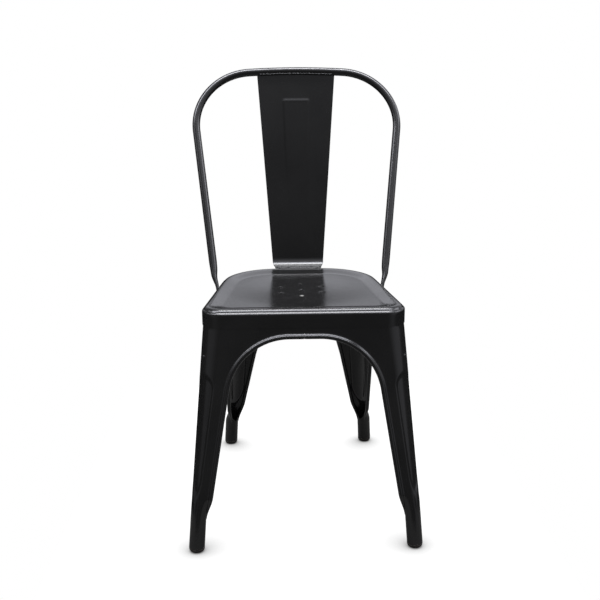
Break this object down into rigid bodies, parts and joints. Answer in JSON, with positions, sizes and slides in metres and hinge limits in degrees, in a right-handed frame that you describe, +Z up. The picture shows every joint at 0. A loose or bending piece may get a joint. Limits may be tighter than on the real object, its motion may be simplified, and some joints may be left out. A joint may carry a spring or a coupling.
{
  "type": "metal bistro chair",
  "caption": "Stackable metal bistro chair with a pressed seat, flared pressed legs with rolled arch edges, a bent tube back hoop and a tapered sheet splat",
  "frame": {"origin": "on the floor, under the middle of the chair's box", "axes": "X to the right seen from the front, Y from the front to the back, Z up; the chair faces -Y"},
  "size_m": [0.4372, 0.512, 0.8599],
  "materials": {
    "powder_coat": "semi-gloss",
    "foot_rubber": "matt",
    "bumper_rubber": "matt"
  },
  "bodies": {
    "root": {"seat_pan": "powder_coat", "front_right_leg": "powder_coat", "front_left_leg": "powder_coat", "rear_right_leg": "powder_coat", "rear_left_leg": "powder_coat", "back_hoop": "powder_coat", "back_splat": "powder_coat", "brace_strap_lower": "powder_coat", "brace_strap_upper": "powder_coat", "brace_rivet": "powder_coat", "brace_end_welds": "powder_coat", "apron_seam_welds": "powder_coat", "hoop_end_welds": "powder_coat", "splat_foot_weld": "powder_coat", "splat_top_weld": "powder_coat", "front_right_foot": "foot_rubber", "front_left_foot": "foot_rubber", "rear_right_foot": "foot_rubber", "rear_left_foot": "foot_rubber", "stacking_bumpers": "bumper_rubber"}
  },
  "joints": []
}
